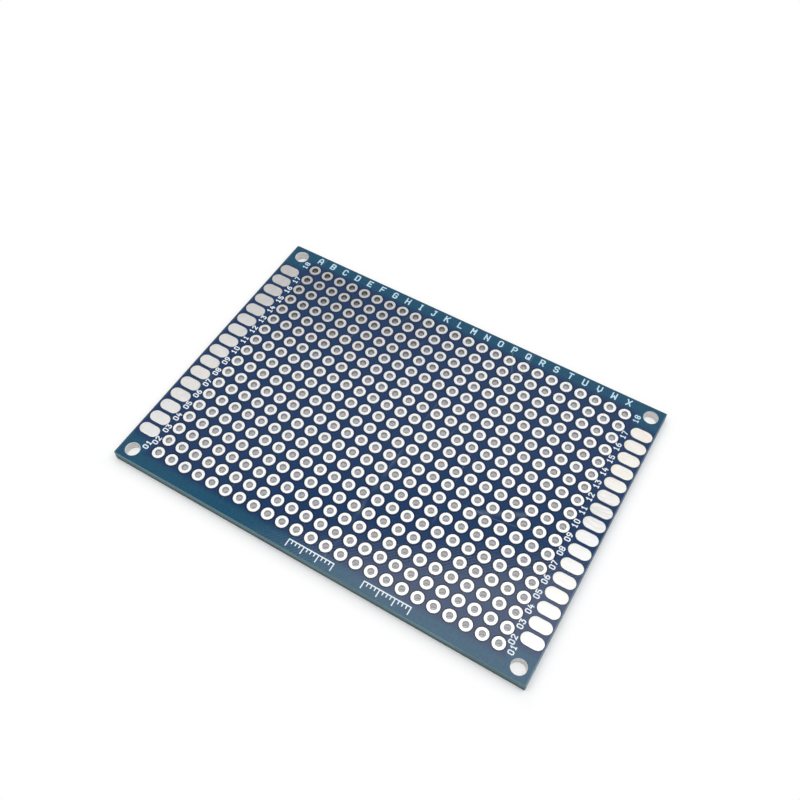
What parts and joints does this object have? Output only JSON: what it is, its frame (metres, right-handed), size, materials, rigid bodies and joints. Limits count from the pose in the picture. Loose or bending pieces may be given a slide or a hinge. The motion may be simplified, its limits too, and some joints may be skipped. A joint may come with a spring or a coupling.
{
  "type": "prototype board",
  "caption": "Flat rectangular circuit prototyping board with a grid of plated through holes, long edge pads and corner fixing holes.",
  "frame": {"origin": "middle of the board's outline, on the plane that the lower pads rest on", "axes": "+X along the lettered long side from the first letter to the last, +Y along the numbered short side from the first row to the last, +Z out of the marked face"},
  "size_m": [0.07, 0.05, 0.0017],
  "materials": {
    "laminate": "glass-fibre epoxy laminate, cut edges satin and layered",
    "lacquer": "semi-gloss blue lacquer, teal where it lies on bare laminate",
    "tin": "hot-dipped tin over copper, satin with a fine grain",
    "ink": "white screen-printed ink, matte"
  },
  "bodies": {
    "root": {"substrate": "laminate", "top_mask": "lacquer", "underside_mask": "lacquer", "edge_pads_left_top": "tin", "edge_pads_right_top": "tin", "edge_pads_left_bottom": "tin", "edge_pads_right_bottom": "tin", "column_letters": "ink", "row_numbers_left": "ink", "row_numbers_right": "ink", "margin_scales": "ink", "plated_holes_row_01": "tin", "plated_holes_row_02": "tin", "plated_holes_row_03": "tin", "plated_holes_row_04": "tin", "plated_holes_row_05": "tin", "plated_holes_row_06": "tin", "plated_holes_row_07": "tin", "plated_holes_row_08": "tin", "plated_holes_row_09": "tin", "plated_holes_row_10": "tin", "plated_holes_row_11": "tin", "plated_holes_row_12": "tin", "plated_holes_row_13": "tin", "plated_holes_row_14": "tin", "plated_holes_row_15": "tin", "plated_holes_row_16": "tin", "plated_holes_row_17": "tin", "plated_holes_row_18": "tin"}
  },
  "joints": []
}
